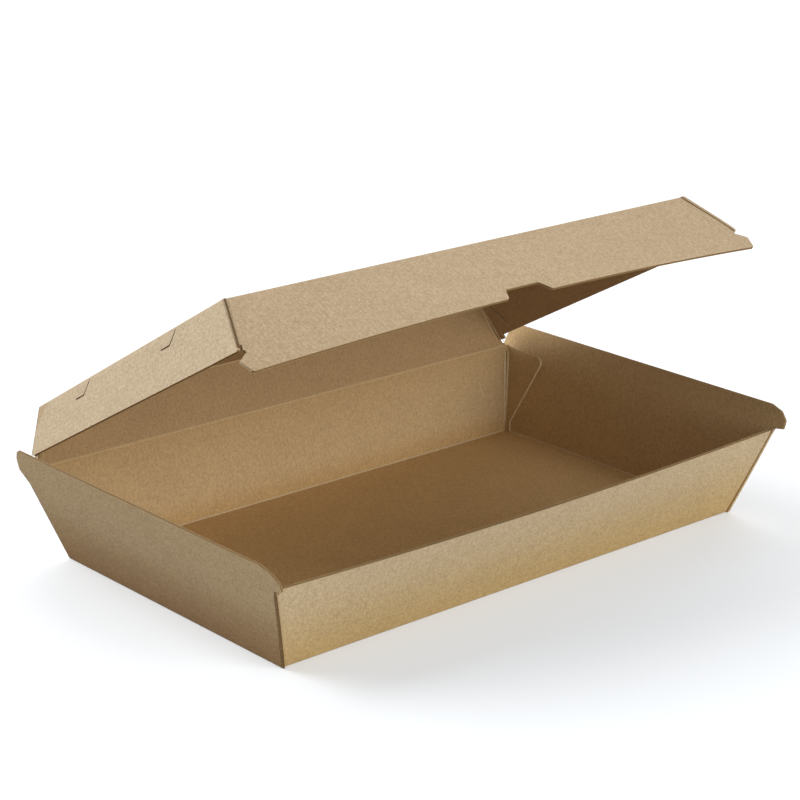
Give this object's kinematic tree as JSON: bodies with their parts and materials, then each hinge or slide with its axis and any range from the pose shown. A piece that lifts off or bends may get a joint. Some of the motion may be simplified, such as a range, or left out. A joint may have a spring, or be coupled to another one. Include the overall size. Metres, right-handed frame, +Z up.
{
  "type": "takeaway box",
  "caption": "Folded kraft microflute takeaway box: flared tray with a hinged lid whose front flap closes over the tray's front wall.",
  "frame": {"origin": "centre of the tray's underside, which is the face that the box stands on", "axes": "+X along the hinge crease, the box's length; +Y from the front wall to the hinge; +Z up"},
  "size_m": [0.299, 0.1904, 0.1442],
  "materials": {
    "kraft_board_tray": "uncoated kraft liner, matt",
    "kraft_board_lid": "uncoated kraft liner, matt"
  },
  "bodies": {
    "tray": {"tray": "kraft_board_tray"},
    "lid": {"lid": "kraft_board_lid"}
  },
  "joints": [
    {"name": "lid_hinge", "type": "hinge", "parent": "tray", "child": "lid", "pos_m": [0, 0.0875, 0.041], "axis": [-1, 0, 0], "range_deg": [-29.4, 150]}
  ]
}
